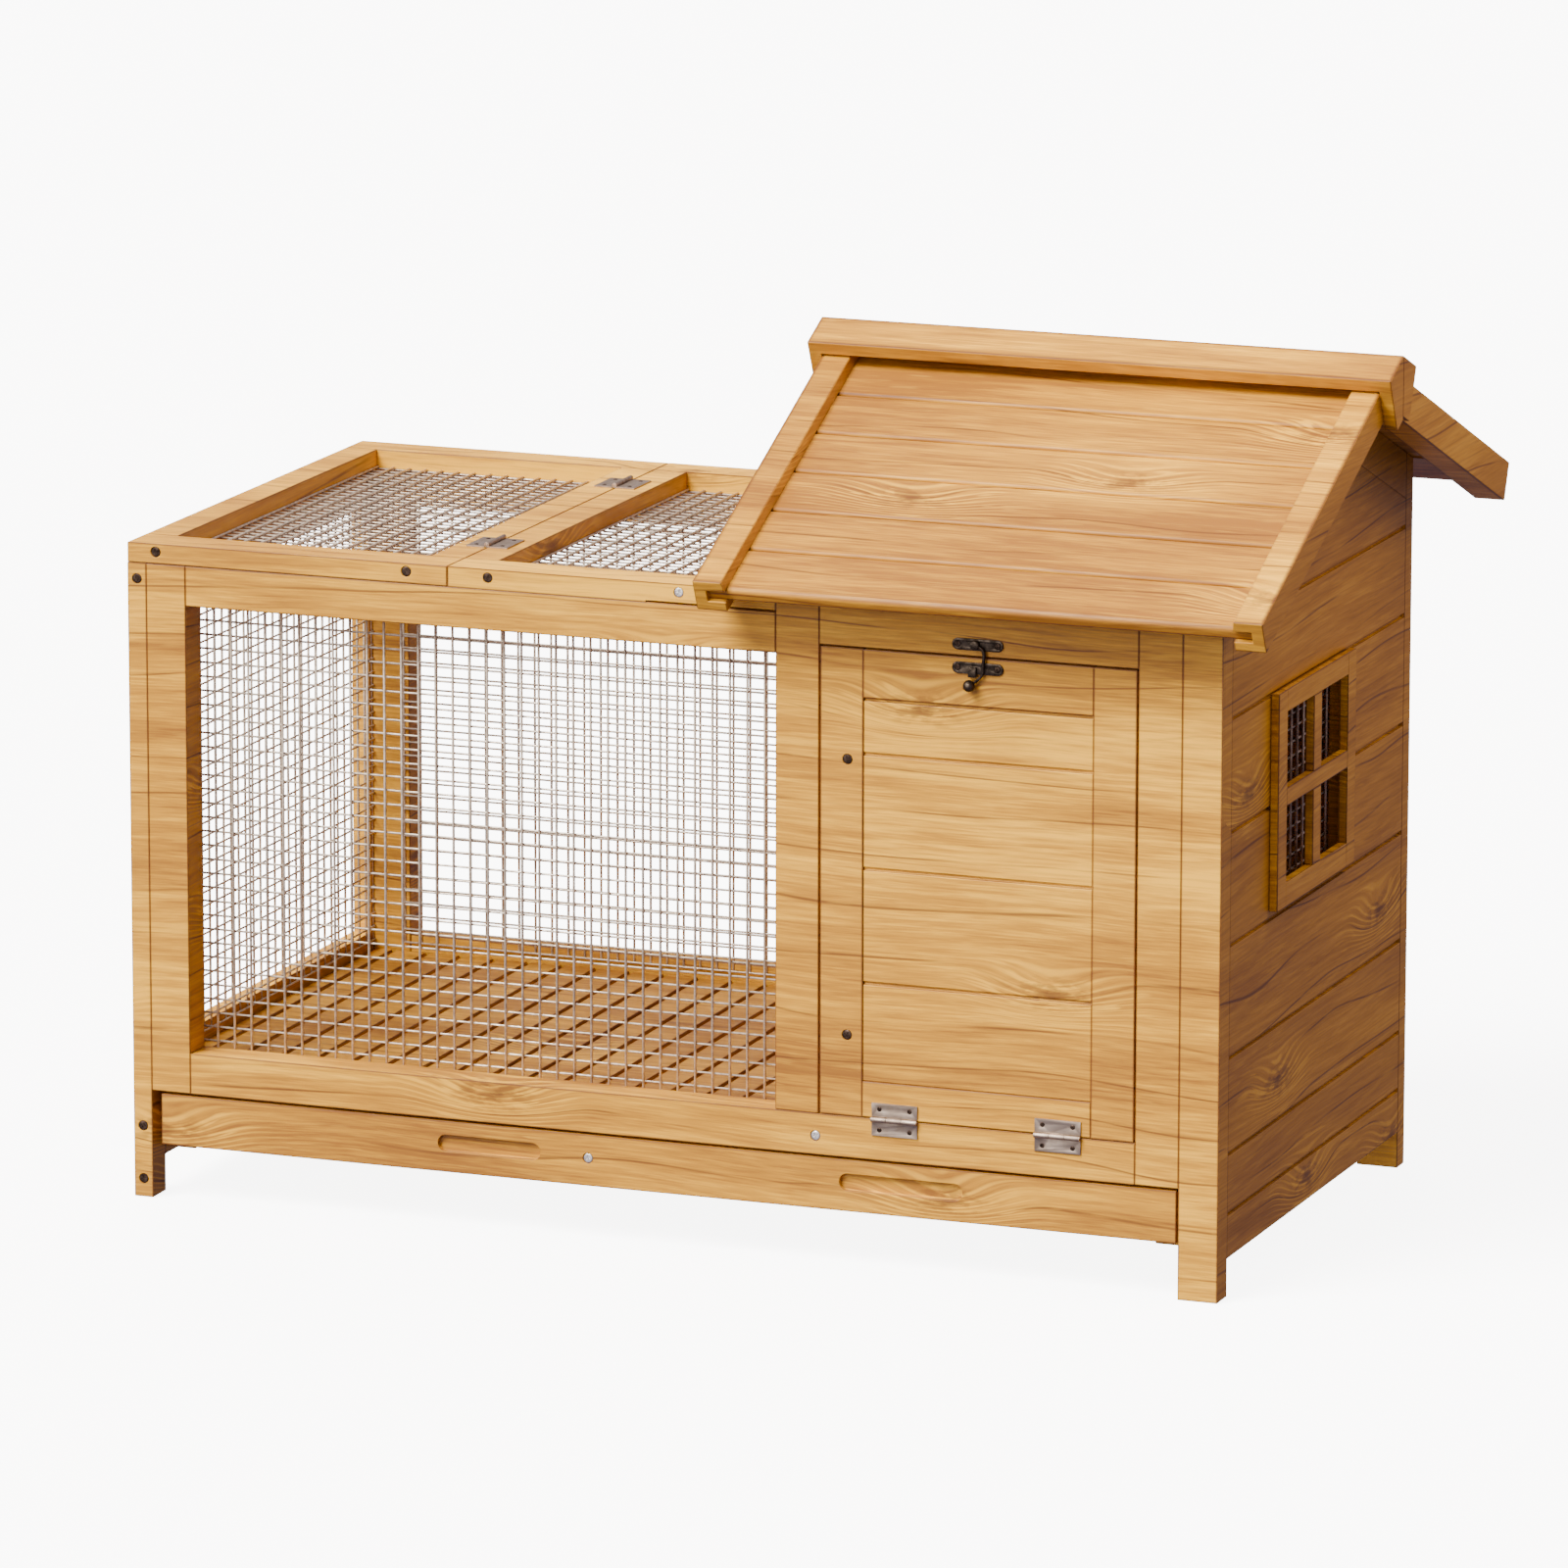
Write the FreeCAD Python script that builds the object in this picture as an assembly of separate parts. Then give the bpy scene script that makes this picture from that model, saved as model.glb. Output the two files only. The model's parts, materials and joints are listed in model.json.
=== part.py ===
import FreeCAD, Part
import math
import os

# Rabbit hutch: a wire run with a lifting lid on the left and a boarded house with a
# pitched roof on the right, standing on four legs over a pull-out drawer.
# Millimetres, +Z up, front towards -Y, run on the -X side.

# ---- overall body, measured from the front left foot --------------------------------
body_length = 900.0
body_depth = 462.0
run_height = 525.0
top_frame_thickness = 16.0

# ---- legs and frames ---------------------------------------------------------------
strip_width = 15.8
leg_depth = 24.4
right_leg_width = 31.7
right_leg_depth = 23.0
back_leg_width = 33.8
back_leg_depth = 17.7
front_frame_depth = 28.0
back_frame_depth = 20.0
stile_width = 33.2
post_width = 35.6
rail_height = 32.5
top_rail_height = 31.8
frame_bottom = 86.7
house_post_x = 540.5
leg_screw_heights = [14.7, 57.5]
leg_top_screw_drop = 12.6
rail_screw_reach = 33.2
rail_screw_height = 14.7

# ---- door --------------------------------------------------------------------------
door_bottom = frame_bottom + rail_height
right_stile_width = 35.2
door_head_height = 38.2
door_gap = 1.2
door_thickness = 16.0
door_stile_width = 35.7
door_top_rail = 38.8
door_bottom_rail = 28.8
door_board_recess = 0.8
first_door_board = 78.3
door_board_pitch = 89.5
door_screw_inset = 22.0
door_screw_rise = 64.1
door_screw_drop = 87.5
door_board_thickness = 11.0
stop_width = 9.0
stop_clearance = 0.6

# ---- wire mesh ---------------------------------------------------------------------
mesh_pitch_across = 14.4
mesh_pitch_up = 11.3
mesh_wire = 1.8
mesh_lap = 7.5
front_mesh_left_lap = 3.8
front_mesh_right_lap = 10.5
back_mesh_left_lap = 5.7
back_mesh_right_lap = 11.3

# ---- top panels --------------------------------------------------------------------
seam_x = 269.8
seam_gap = 0.6
lid_rest_gap = 0.3
top_front_rail = 35.7
top_back_rail = 31.8
top_left_stile = 27.0
top_middle_stile = 28.0
top_screw_drop = 6.6
lid_screw_left = 24.0
lid_screw_right = 34.1
fixed_screw_left = 33.4
fixed_screw_right = 79.2
shadow_gap_reach = 106.5
shadow_gap_height = 1.6

# ---- floor and drawer --------------------------------------------------------------
slat_pitch = 30.0
slat_gap = 4.0
slat_thickness = 9.0
first_slat_reach = 16.6
floor_top = 105.0
bearer_width = 20.0
drawer_front_bottom = 43.9
drawer_top_gap = 2.1
drawer_front_thickness = 16.0
drawer_end_gap = 8.0
drawer_box_thickness = 10.0
drawer_box_height = 34.0
drawer_floor_thickness = 3.0
drawer_side_clearance = 1.5
runner_thickness = 8.0
runner_reach = 26.0
runner_fence = 8.0
runner_play = 0.4
grip_height = 13.3
grip_depth = 4.0
left_grip_length = 85.9
right_grip_length = 100.5
grip_drop = 17.6
left_grip_inset = 235.6
right_grip_inset = 172.8
drawer_screw_inset = 361.5
drawer_screw_drop = 18.6

# ---- house walls -------------------------------------------------------------------
wall_thickness = 12.0
wall_bottom = 29.3
board_groove = 3.2
batten_width = 18.0
rafter_depth = 34.0
divider_setback = 12.0
doorway_front = 70.0
doorway_width = 150.0
doorway_height = 190.0
divider_board = 88.0
base_boards = [36.7, 47.0, 75.0]
upper_board = 71.0

# ---- window ------------------------------------------------------------------------
window_front = 113.5
window_width = 188.5
window_bottom = 281.0
window_height = 169.5
window_proud = 7.2
window_stile = 20.0
window_muntin = 18.5
window_top_rail = 17.0
window_middle_rail = 14.0
window_bottom_rail = 19.0
window_lap = 9.0

# ---- roof --------------------------------------------------------------------------
ridge_y = 250.4
ridge_rise = 154.0
front_pitch = math.radians(24.8)
back_pitch = math.radians(22.4)
front_overhang = 52.2
back_overhang = 81.5
left_overhang = 47.7
right_overhang = 48.1
barge_width = 25.0
barge_web = 10.0
barge_lip = 8.4
lip_chamfer = 2.0
front_barge_depth = 26.0
back_barge_depth = 31.0
barge_foot_lip = 8.0
back_barge_step = 5.7
roof_board_thickness = 9.6
roof_board_pitch = 52.2
first_roof_seam = 65.9
roof_edge_round = 3.0
eave_round = 4.5
back_seam_pitch = 56.0
last_board_inset = 4.3
cap_reach = 10.5
cap_width = 30.0
cap_thickness = 10.6
cap_lift = 2.0
front_cap_end_depth = 33.0
back_cap_end_depth = 31.0
ridge_beam_width = 20.0
ridge_beam_depth = 36.0

# ---- hardware ----------------------------------------------------------------------
screw_radius = 3.9
screw_thickness = 1.0
screw_clearance = 0.2
screw_sink = 1.2
lid_hinge_length = 36.0
lid_hinge_leaf = 17.3
door_hinge_length = 37.2
door_hinge_leaf = 12.8
leaf_thickness = 1.2
knuckle_radius = 2.0
knuckle_lift = 2.4
knuckle_gap = 0.4
pin_radius = 1.0
pin_fit = 0.05
leaf_hole_fractions = (0.17, 0.83)
leaf_hole_reach = 0.58
leaf_hole_radius = 1.9
leaf_screw_radius = 1.8
latch_plate_length = 41.0
latch_plate_width = 9.0
latch_plate_thickness = 1.5
latch_above_door = 9.2
catch_below_door = 9.0
lid_hinge_inset = 43.0
lid_hinge_back_inset = 50.5
door_hinge_inset = 44.1
door_hinge_right_inset = 43.3
latch_arm_thickness = 2.0
latch_arm_width = 3.4
latch_ball_radius = 4.6
latch_stud_radius = 1.6
latch_stud_head_radius = 3.4
latch_arm_gap = 0.45
latch_screw_rise = 0.2
latch_screw_radius = 2.4
strap_height = 4.2

# ---- derived lines -----------------------------------------------------------------
frame_top = run_height - 0.2
rail_top_z = frame_top - top_frame_thickness
opening_top = rail_top_z - top_rail_height
stile_end = strip_width + stile_width
door_left = house_post_x + post_width
leg_right_x = body_length - right_leg_width
door_right = leg_right_x - right_stile_width
door_top = frame_top - door_head_height
back_frame_y = body_depth - back_frame_depth
wall_x = body_length - wall_thickness
wall_front_y = right_leg_depth
wall_back_y = body_depth - back_leg_depth
back_leg_x = body_length - back_leg_width
ridge_z = frame_top + ridge_rise
front_slope_length = (ridge_y + front_overhang) / math.cos(front_pitch)
back_slope_length = (body_depth + back_overhang - ridge_y) / math.cos(back_pitch)
front_barge_left = house_post_x - left_overhang
front_barge_right = body_length + right_overhang
cap_left = front_barge_left - cap_reach
cap_right = front_barge_right + cap_reach
divider_x = house_post_x + divider_setback
latch_x = (door_left + door_right) / 2.0
latch_upper_z = door_top + latch_above_door
latch_lower_z = door_top - catch_below_door
under_boards = barge_lip + roof_board_thickness

# the assembly stands centred on the middle of everything it covers, roof included
centre = FreeCAD.Vector(cap_right / 2.0, (body_depth + back_overhang - front_overhang) / 2.0, 0.0)


def place(x, y, z):
    return FreeCAD.Vector(x, y, z) - centre


def block(x0, x1, y0, y1, z0, z1):
    return Part.makeBox(x1 - x0, y1 - y0, z1 - z0, place(x0, y0, z0))


def across_x(points, x0, x1):
    corners = [place(x0, y, z) for y, z in points]
    face = Part.Face(Part.makePolygon(corners + [corners[0]]))
    return face.extrude(FreeCAD.Vector(x1 - x0, 0, 0))


def rod(start, end, radius):
    line = end - start
    return Part.makeCylinder(radius, line.Length, start, line)


def save(name, solids):
    shape = solids[0] if len(solids) == 1 else Part.makeCompound(solids)
    shape.exportStep(os.path.join("parts", name + ".step"))


def under_slope(y, drop):
    # height of the plane lying `drop` below the top of the roof, square to the slope
    if y <= ridge_y:
        pitch = front_pitch
    else:
        pitch = back_pitch
    return ridge_z - abs(y - ridge_y) * math.tan(pitch) - drop / math.cos(pitch)


def gable(y0, y1, z0, drop):
    # outline of a wall that stands on z0 and follows the roof plane from y0 to y1
    points = [(y0, z0), (y1, z0), (y1, under_slope(y1, drop))]
    if y0 < ridge_y < y1:
        points.append((ridge_y, under_slope(ridge_y, drop)))
    points.append((y0, under_slope(y0, drop)))
    return points


def screw_hole(solid, x, y, z, direction):
    start = place(x, y, z) - direction * screw_sink
    return solid.cut(rod(start, start + direction * (screw_sink + 1), screw_radius + screw_clearance))


def screw_head(x, y, z, direction):
    start = place(x, y, z) - direction * screw_sink
    return rod(start, start + direction * screw_thickness, screw_radius)


front = FreeCAD.Vector(0, -1, 0)
top = FreeCAD.Vector(0, 0, 1)


def mesh_sheet(origin, across, up, width, height, pitch_across, pitch_up):
    # welded wire sheet as one plate with a window between every pair of wires
    across_count = int(round((width - mesh_wire) / pitch_across))
    up_count = int(round((height - mesh_wire) / pitch_up))
    step_across = (width - mesh_wire) / across_count
    step_up = (height - mesh_wire) / up_count
    normal = across.cross(up)

    def outline(a0, a1, u0, u1):
        spots = [(a0, u0), (a1, u0), (a1, u1), (a0, u1), (a0, u0)]
        return Part.makePolygon([origin + across * a + up * u for a, u in spots])

    holes = []
    for i in range(across_count):
        for j in range(up_count):
            a0 = mesh_wire + i * step_across
            u0 = mesh_wire + j * step_up
            holes.append(outline(a0, a0 + step_across - mesh_wire, u0, u0 + step_up - mesh_wire))
    face = Part.Face([outline(0, width, 0, height)] + holes)
    return face.extrude(normal * mesh_wire)


x_dir = FreeCAD.Vector(1, 0, 0)
y_dir = FreeCAD.Vector(0, 1, 0)
z_dir = FreeCAD.Vector(0, 0, 1)

os.makedirs("parts", exist_ok=True)

# ==== legs ==========================================================================
left_leg_screws = [(strip_width / 2.0, z) for z in leg_screw_heights + [rail_top_z - leg_top_screw_drop]]
leg = block(0, strip_width, 0, leg_depth, 0, rail_top_z)
for x, z in left_leg_screws:
    leg = screw_hole(leg, x, 0, z, front)
right_leg = across_x(gable(0, right_leg_depth, 0, under_boards), leg_right_x, body_length)
save("front_legs", [leg, right_leg])
left_leg = block(0, strip_width, body_depth - leg_depth, body_depth, 0, rail_top_z)
right_leg = across_x(gable(wall_back_y, body_depth, 0, under_boards), back_leg_x, body_length)
save("back_legs", [left_leg, right_leg])

# ==== front frame ===================================================================
save("front_stiles", [
    block(strip_width, stile_end, 0, front_frame_depth, frame_bottom, rail_top_z),
    block(door_right, leg_right_x, 0, front_frame_depth, frame_bottom, frame_top),
])
bright_rail_screw = (house_post_x + rail_screw_reach, frame_bottom + rail_screw_height)
bottom_rail = block(stile_end, door_right, 0, front_frame_depth, frame_bottom, door_bottom)
bottom_rail = screw_hole(bottom_rail, bright_rail_screw[0], 0, bright_rail_screw[1], front)
save("front_bottom_rail", [bottom_rail])
save("front_top_rail", [block(stile_end, house_post_x, 0, front_frame_depth, opening_top, rail_top_z)])
save("house_post", [block(house_post_x, door_left, 0, front_frame_depth, door_bottom, frame_top)])
save("door_head", [block(door_left, door_right, 0, front_frame_depth, door_top, frame_top)])
stop_front = door_thickness + stop_clearance
stops = [
    block(door_left, door_left + stop_width, stop_front, front_frame_depth, door_bottom, door_top),
    block(door_right - stop_width, door_right, stop_front, front_frame_depth, door_bottom, door_top),
    block(door_left + stop_width, door_right - stop_width, stop_front, front_frame_depth,
          door_top - stop_width, door_top),
]
save("door_stops", stops)

# ==== left and back frames ==========================================================
back_leg_front = body_depth - leg_depth
save("left_rails", [
    block(strip_width - wall_thickness, strip_width, leg_depth, back_leg_front, wall_bottom, frame_bottom),
    block(0, strip_width, leg_depth, back_leg_front, frame_bottom, door_bottom),
    block(0, strip_width, leg_depth, back_leg_front, opening_top, rail_top_z),
])
back_wall_top = frame_top + 20.0
save("back_posts", [
    block(strip_width, stile_end, back_frame_y, body_depth, frame_bottom, rail_top_z),
    block(house_post_x, door_left, back_frame_y, body_depth, door_bottom, back_wall_top),
])
save("back_rails", [
    block(stile_end, back_leg_x, back_frame_y, body_depth, frame_bottom, door_bottom),
    block(stile_end, house_post_x, back_frame_y, body_depth, opening_top, rail_top_z),
])
save("eave_plates", [
    across_x(gable(0, front_frame_depth, frame_top, under_boards), house_post_x, leg_right_x),
    across_x(gable(back_frame_y, body_depth, back_wall_top, under_boards), house_post_x, back_leg_x),
])

# ==== wire mesh of the run ==========================================================
mesh_bottom = door_bottom - mesh_lap
mesh_height = opening_top + mesh_lap - mesh_bottom
front_mesh_left = stile_end - front_mesh_left_lap
front_mesh_length = house_post_x + front_mesh_right_lap - front_mesh_left
sheet = mesh_sheet(place(front_mesh_left, front_frame_depth + mesh_wire, mesh_bottom), x_dir, z_dir,
                   front_mesh_length, mesh_height, mesh_pitch_across, mesh_pitch_up)
save("run_front_mesh", [sheet])
back_mesh_left = stile_end - back_mesh_left_lap
back_mesh_length = house_post_x + back_mesh_right_lap - back_mesh_left
sheet = mesh_sheet(place(back_mesh_left, back_frame_y, mesh_bottom), x_dir, z_dir,
                   back_mesh_length, mesh_height, mesh_pitch_across, mesh_pitch_up)
save("run_back_mesh", [sheet])
sheet = mesh_sheet(place(strip_width, front_frame_depth, mesh_bottom), y_dir, z_dir,
                   back_frame_y - front_frame_depth, mesh_height, mesh_pitch_across, mesh_pitch_up)
save("run_left_mesh", [sheet])

# ==== floor =========================================================================
slat_width = slat_pitch - slat_gap
first_slat_end = strip_width + first_slat_reach
slats = [block(strip_width + 2.2, first_slat_end, front_frame_depth, back_frame_y,
               floor_top - slat_thickness, floor_top)]
slat_x = first_slat_end + slat_gap
while slat_x + slat_width < wall_x - wall_thickness:
    slats.append(block(slat_x, slat_x + slat_width, front_frame_depth, back_frame_y,
                       floor_top - slat_thickness, floor_top))
    slat_x += slat_pitch
floor_end = slat_x - slat_gap
save("floor_slats", slats)
bearers = []
for y in (front_frame_depth, (body_depth - bearer_width) / 2.0, back_frame_y - bearer_width):
    bearers.append(block(strip_width, wall_x - wall_thickness, y, y + bearer_width,
                         frame_bottom, floor_top - slat_thickness))
save("floor_bearers", bearers)

# ==== drawer runners ================================================================
drawer_box_bottom = drawer_front_bottom + 0.6
runner_top = drawer_box_bottom - runner_play
runner_bottom = runner_top - runner_thickness
drawer_left = strip_width + drawer_end_gap
drawer_right = leg_right_x - 1.6
box_left = strip_width + runner_fence + drawer_side_clearance
box_right = leg_right_x - runner_fence - drawer_side_clearance
fence_top = drawer_box_bottom + drawer_box_height / 2.0
runners = []
left_base = block(strip_width, strip_width + runner_reach, leg_depth, back_leg_front,
                  runner_bottom, runner_top)
left_fence = block(strip_width, strip_width + runner_fence, leg_depth, back_leg_front,
                   runner_top, fence_top)
runners.append(left_base.fuse(left_fence).removeSplitter())
right_base = block(leg_right_x - runner_reach, wall_x, wall_front_y, wall_back_y, runner_bottom, runner_top)
right_fence = block(leg_right_x - runner_fence, leg_right_x, wall_front_y, wall_back_y,
                    runner_top, fence_top)
runners.append(right_base.fuse(right_fence).removeSplitter())
save("drawer_runners", runners)

# ==== house walls ===================================================================
def boards(y0, y1, x0, x1, seams, drop, outer_x):
    # horizontal boards cut to the roof line, each with a small groove along its top edge
    whole = across_x(gable(y0, y1, seams[0], drop), x0, x1)
    highest = seams[-1]
    result = []
    for low, high in zip(seams[:-1], seams[1:]):
        board = whole.common(block(x0 - 1, x1 + 1, y0 - 1, y1 + 1, low, high))
        if high < highest:
            groove = block(outer_x - board_groove, outer_x + board_groove, y0 - 1, y1 + 1,
                           high - board_groove, high)
            board = board.cut(groove)
        result += board.Solids
    return result


window_back = window_front + window_width
window_top = window_bottom + window_height
wall_seams = [wall_bottom]
for height in base_boards:
    wall_seams.append(wall_seams[-1] + height)
band = (window_top + 0.5 - wall_seams[-1]) / 3.0
for height in (band, band, band, upper_board):
    wall_seams.append(wall_seams[-1] + height)
wall_seams.append(ridge_z)
window_hole = block(wall_x - 1, body_length + 1, window_front + window_lap, window_back - window_lap,
                    window_bottom + window_lap, window_top - window_lap)
right_boards = []
for board in boards(wall_front_y, wall_back_y, wall_x, body_length, wall_seams,
                    under_boards + rafter_depth, body_length):
    right_boards += board.cut(window_hole).Solids
save("right_wall_boards", right_boards)
rafters = []
for y0, y1 in ((wall_front_y, ridge_y), (ridge_y, wall_back_y)):
    outline = [(y0, under_slope(y0, under_boards + rafter_depth)),
               (y1, under_slope(y1, under_boards + rafter_depth)),
               (y1, under_slope(y1, under_boards)),
               (y0, under_slope(y0, under_boards))]
    rafters.append(across_x(outline, wall_x, body_length))
save("gable_rafters", rafters)
batten_x = wall_x - wall_thickness
battens = [
    across_x(gable(wall_front_y, wall_front_y + batten_width, floor_top, under_boards + rafter_depth),
             batten_x, wall_x),
    across_x(gable(wall_back_y - batten_width, wall_back_y, floor_top, under_boards + rafter_depth),
             batten_x, wall_x),
]
save("wall_battens", battens)

divider_seams = [floor_top + step * divider_board for step in range(6)] + [ridge_z]
doorway = block(divider_x - 1, divider_x + wall_thickness + 1, doorway_front, doorway_front + doorway_width,
                floor_top - 1, floor_top + doorway_height)
divider = []
for board in boards(front_frame_depth, back_frame_y, divider_x, divider_x + wall_thickness,
                    divider_seams, under_boards, divider_x):
    divider += board.cut(doorway).Solids
save("divider_boards", divider)

back_board_y = body_depth - wall_thickness
back_step = (back_wall_top - door_bottom) / 5.0
back_boards = []
for step in range(5):
    low = door_bottom + step * back_step
    board = block(door_left, back_leg_x, back_board_y, body_depth, low, low + back_step)
    if step < 4:
        board = board.cut(block(door_left - 1, back_leg_x + 1, body_depth - board_groove, body_depth + 1,
                                low + back_step - board_groove, low + back_step))
    back_boards.append(board)
save("back_wall_boards", back_boards)

# ==== window ========================================================================
pane_columns = [
    (window_front + window_stile, (window_front + window_back - window_muntin) / 2.0),
    ((window_front + window_back + window_muntin) / 2.0, window_back - window_stile),
]
middle_low = window_bottom + window_bottom_rail + (
    window_height - window_top_rail - window_middle_rail - window_bottom_rail) / 2.0
pane_rows = [
    (window_bottom + window_bottom_rail, middle_low),
    (middle_low + window_middle_rail, window_top - window_top_rail),
]
out_x = body_length + window_proud
window_members = [
    block(body_length, out_x, window_front, pane_columns[0][0], window_bottom, window_top),
    block(body_length, out_x, pane_columns[1][1], window_back, window_bottom, window_top),
]
for low, high in ((window_bottom, pane_rows[0][0]), (pane_rows[0][1], pane_rows[1][0]),
                  (pane_rows[1][1], window_top)):
    window_members.append(block(body_length, out_x, pane_columns[0][0], pane_columns[1][1], low, high))
for low, high in pane_rows:
    window_members.append(block(body_length, out_x, pane_columns[0][1], pane_columns[1][0], low, high))
save("window_frame", window_members)
sheet = mesh_sheet(place(wall_x - mesh_wire, window_front, window_bottom), y_dir, z_dir,
                   window_width, window_height, mesh_pitch_across, mesh_pitch_up)
save("window_mesh", [sheet])

# ==== roof ==========================================================================
def slope_point(side, along, rise):
    # side -1 is the front slope, +1 the back slope; `rise` is square to the slope
    pitch = front_pitch if side < 0 else back_pitch
    y = ridge_y + side * (along * math.cos(pitch) + rise * math.sin(pitch))
    z = ridge_z - along * math.sin(pitch) + rise * math.cos(pitch)
    return (y, z)


def slope_slab(side, along0, along1, low, high, x0, x1):
    # board lying on the slope; along0 None means mitred at the ridge plane
    pitch = front_pitch if side < 0 else back_pitch
    if along0 is None:
        starts = (-high * math.tan(pitch), -low * math.tan(pitch))
    else:
        starts = (along0, along0)
    points = [slope_point(side, starts[0], high), slope_point(side, along1, high),
              slope_point(side, along1, low), slope_point(side, starts[1], low)]
    return across_x(points, x0, x1)


def bargeboard(side, length, depth, outer, inward):
    # channel section: a lip on top, a web outside and a lip below
    def span(reach):
        return sorted((outer, outer + inward * reach))

    wide = span(barge_width)
    thin = span(barge_web)
    lip = slope_slab(side, None, length, -barge_lip, 0, wide[0], wide[1])
    inner_edge = outer + inward * barge_width
    corner = [(inner_edge - inward * lip_chamfer, 0.5), (inner_edge + inward, 0.5),
              (inner_edge + inward, -barge_lip), (inner_edge, -barge_lip)]
    spots = []
    for x, rise in corner:
        y, z = slope_point(side, -20.0, rise)
        spots.append(place(x, y, z))
    down_y, down_z = slope_point(side, length + 20.0, 0.0)
    up_y, up_z = slope_point(side, -20.0, 0.0)
    run_down = FreeCAD.Vector(0, down_y - up_y, down_z - up_z)
    lip = lip.cut(Part.Face(Part.makePolygon(spots + [spots[0]])).extrude(run_down))
    web = slope_slab(side, None, length, -depth, 0, thin[0], thin[1])
    foot = slope_slab(side, None, length, -depth, -depth + barge_foot_lip, wide[0], wide[1])
    return lip.fuse(web).fuse(foot).removeSplitter()


def roof_boards(side, seams, x0, x1):
    result = []
    for index in range(len(seams) - 1):
        low_edge = seams[index + 1]
        board = slope_slab(side, seams[index], low_edge, -under_boards, -barge_lip, x0, x1)
        if index > 0:
            rebate = slope_slab(side, seams[index] - 1, seams[index] + 3.0,
                                -barge_lip - 3.5, -barge_lip + 1, x0 - 1, x1 + 1)
            board = board.cut(rebate)
        last = index == len(seams) - 2
        result.append(round_lower_edge(board, side, low_edge, eave_round if last else roof_edge_round))
    return result


def round_lower_edge(board, side, low_edge, radius):
    # rounds over the upper edge at the foot of a roof board
    y, z = slope_point(side, low_edge, -barge_lip)
    level = place(0, y, z)
    edges = []
    for edge in board.Edges:
        ends = [vertex.Point for vertex in edge.Vertexes]
        if all(abs(p.y - level.y) < 0.01 and abs(p.z - level.z) < 0.01 for p in ends):
            edges.append(edge)
    return board.makeFillet(radius, edges)


def seam_lines(first, pitch, end):
    # seams down a slope, none of them leaving a last board under half a pitch wide
    seams = [None]
    seam = first
    while seam < end - pitch / 2.0:
        seams.append(seam)
        seam += pitch
    return seams + [end]


board_left = front_barge_left + barge_web
board_right = front_barge_right - barge_web
front_seams = seam_lines(first_roof_seam, roof_board_pitch, front_slope_length - last_board_inset)
save("roof_front_boards", roof_boards(-1, front_seams, board_left, board_right))
back_seams = seam_lines(first_roof_seam, back_seam_pitch, back_slope_length)
save("roof_back_boards", roof_boards(1, back_seams, board_left - back_barge_step,
                                     board_right + back_barge_step))
save("bargeboards_front", [
    bargeboard(-1, front_slope_length, front_barge_depth, front_barge_left, 1),
    bargeboard(-1, front_slope_length, front_barge_depth, front_barge_right, -1),
])
save("bargeboards_back", [
    bargeboard(1, back_slope_length, back_barge_depth, front_barge_left - back_barge_step, 1),
    bargeboard(1, back_slope_length, back_barge_depth, front_barge_right + back_barge_step, -1),
])


def capping(side, barge_left, barge_right, end_depth):
    # one board of the ridge cap, with the deep block at each end that hides the bargeboards' tops
    board = slope_slab(side, None, cap_width, cap_lift, cap_lift + cap_thickness, cap_left, cap_right)
    for x0, x1 in ((cap_left, barge_left), (barge_right, cap_right)):
        board = board.fuse(slope_slab(side, None, cap_width, -end_depth, cap_lift, x0, x1))
    return board.removeSplitter()


save("ridge_cap", [
    capping(-1, front_barge_left, front_barge_right, front_cap_end_depth),
    capping(1, front_barge_left - back_barge_step, front_barge_right + back_barge_step, back_cap_end_depth),
])
half_beam = ridge_beam_width / 2.0
beam_foot = under_slope(ridge_y, under_boards) - ridge_beam_depth
beam = gable(ridge_y - half_beam, ridge_y + half_beam, beam_foot, under_boards)
save("ridge_beam", [across_x(beam, divider_x + wall_thickness, wall_x)])

# ==== fixed top panel ===============================================================
fixed_left = seam_x + seam_gap / 2.0
middle_end = fixed_left + top_middle_stile
fixed_right = divider_x
inner_front = top_front_rail
inner_back = body_depth - top_back_rail
top_low = rail_top_z
fixed_screws = [(fixed_left + fixed_screw_left, "dark"), (house_post_x - fixed_screw_right, "bright")]
screw_row_z = frame_top - top_screw_drop
fixed_front = block(fixed_left, house_post_x, 0, inner_front, top_low, frame_top)
shadow_gap = block(house_post_x - shadow_gap_reach, house_post_x + 1, -1, 12.0,
                   top_low - 1, top_low + shadow_gap_height)
fixed_front = fixed_front.cut(shadow_gap)
for x, tone in fixed_screws:
    fixed_front = screw_hole(fixed_front, x, 0, screw_row_z, front)
fixed_back = block(fixed_left, house_post_x, inner_back, body_depth, top_low, frame_top)
save("fixed_top_rails", [fixed_front, fixed_back])
stiles = [
    block(fixed_left, middle_end, inner_front, inner_back, top_low, frame_top),
    block(house_post_x - top_left_stile, fixed_right, inner_front, inner_back, top_low, frame_top),
]
save("fixed_top_stiles", stiles)
fixed_mesh_end = house_post_x - top_left_stile
sheet = mesh_sheet(place(middle_end, inner_front, top_low), x_dir, y_dir,
                   fixed_mesh_end - middle_end, inner_back - inner_front, mesh_pitch_across, mesh_pitch_up)
save("fixed_top_mesh", [sheet])

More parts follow.
